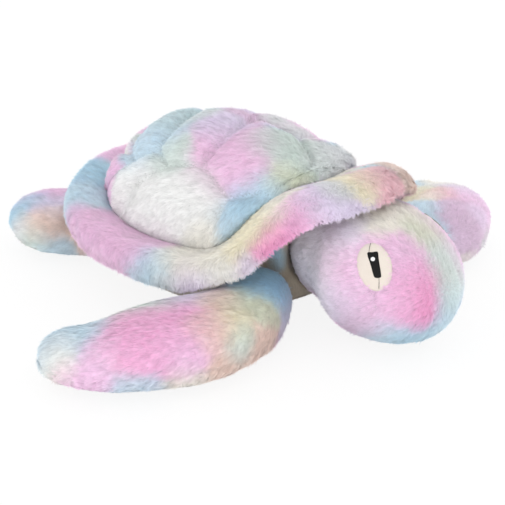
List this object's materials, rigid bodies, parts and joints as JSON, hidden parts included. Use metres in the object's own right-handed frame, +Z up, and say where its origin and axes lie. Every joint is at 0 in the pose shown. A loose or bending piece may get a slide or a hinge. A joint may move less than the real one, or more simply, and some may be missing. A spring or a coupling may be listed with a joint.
{
  "type": "plush sea turtle",
  "caption": "Lying plush sea turtle with a quilted domed shell, a stuffed rim, sewn felt eyes, and a head and flippers that turn at their seams.",
  "frame": {"origin": "centre of the belly's flat sole, on the surface that the turtle lies on", "axes": "+Z up out of the shell, -Y towards the nose, -X towards the turtle's right side"},
  "size_m": [0.4568, 0.4101, 0.1431],
  "materials": {
    "shell_plush": "long tie-dyed pile",
    "rim_plush": "long tie-dyed pile",
    "belly_cloth": "short pile",
    "pouch_cloth": "plain weave",
    "filling": "loose fibre",
    "head_plush": "long tie-dyed pile",
    "flipper_plush": "long tie-dyed pile",
    "eye_felt": "felt",
    "eye_pupil": "satin stitch",
    "eye_highlight": "satin stitch"
  },
  "bodies": {
    "body": {"shell_dome": "shell_plush", "shell_rim": "rim_plush", "belly_panel": "belly_cloth", "pellet_pouch": "pouch_cloth", "body_filling": "filling"},
    "head": {"head_gusset": "head_plush", "head_panel_right": "head_plush", "head_panel_left": "head_plush", "head_filling": "filling", "eye_white_right": "eye_felt", "eye_pupil_right": "eye_pupil", "eye_highlight_right": "eye_highlight", "eye_white_left": "eye_felt", "eye_pupil_left": "eye_pupil", "eye_highlight_left": "eye_highlight"},
    "front_right": {"flipper_front_right": "flipper_plush", "filling_front_right": "filling"},
    "front_left": {"flipper_front_left": "flipper_plush", "filling_front_left": "filling"},
    "hind_right": {"flipper_hind_right": "flipper_plush", "filling_hind_right": "filling"},
    "hind_left": {"flipper_hind_left": "flipper_plush", "filling_hind_left": "filling"}
  },
  "joints": [
    {"name": "head_turn", "type": "hinge", "parent": "body", "child": "head", "pos_m": [0, -0.122, 0.06], "axis": [0, 0, 1], "range_deg": [-10, 10]},
    {"name": "front_right_sweep", "type": "hinge", "parent": "body", "child": "front_right", "pos_m": [-0.072, -0.096, 0.0295], "axis": [0, 0, 1], "range_deg": [0, 34]},
    {"name": "front_left_sweep", "type": "hinge", "parent": "body", "child": "front_left", "pos_m": [0.072, -0.096, 0.0295], "axis": [0, 0, -1], "range_deg": [-16, 18]},
    {"name": "hind_right_sweep", "type": "hinge", "parent": "body", "child": "hind_right", "pos_m": [-0.056, 0.094, 0.0195], "axis": [0, 0, 1], "range_deg": [-8, 15]},
    {"name": "hind_left_sweep", "type": "hinge", "parent": "body", "child": "hind_left", "pos_m": [0.056, 0.094, 0.0195], "axis": [0, 0, -1], "range_deg": [-8, 15]}
  ]
}
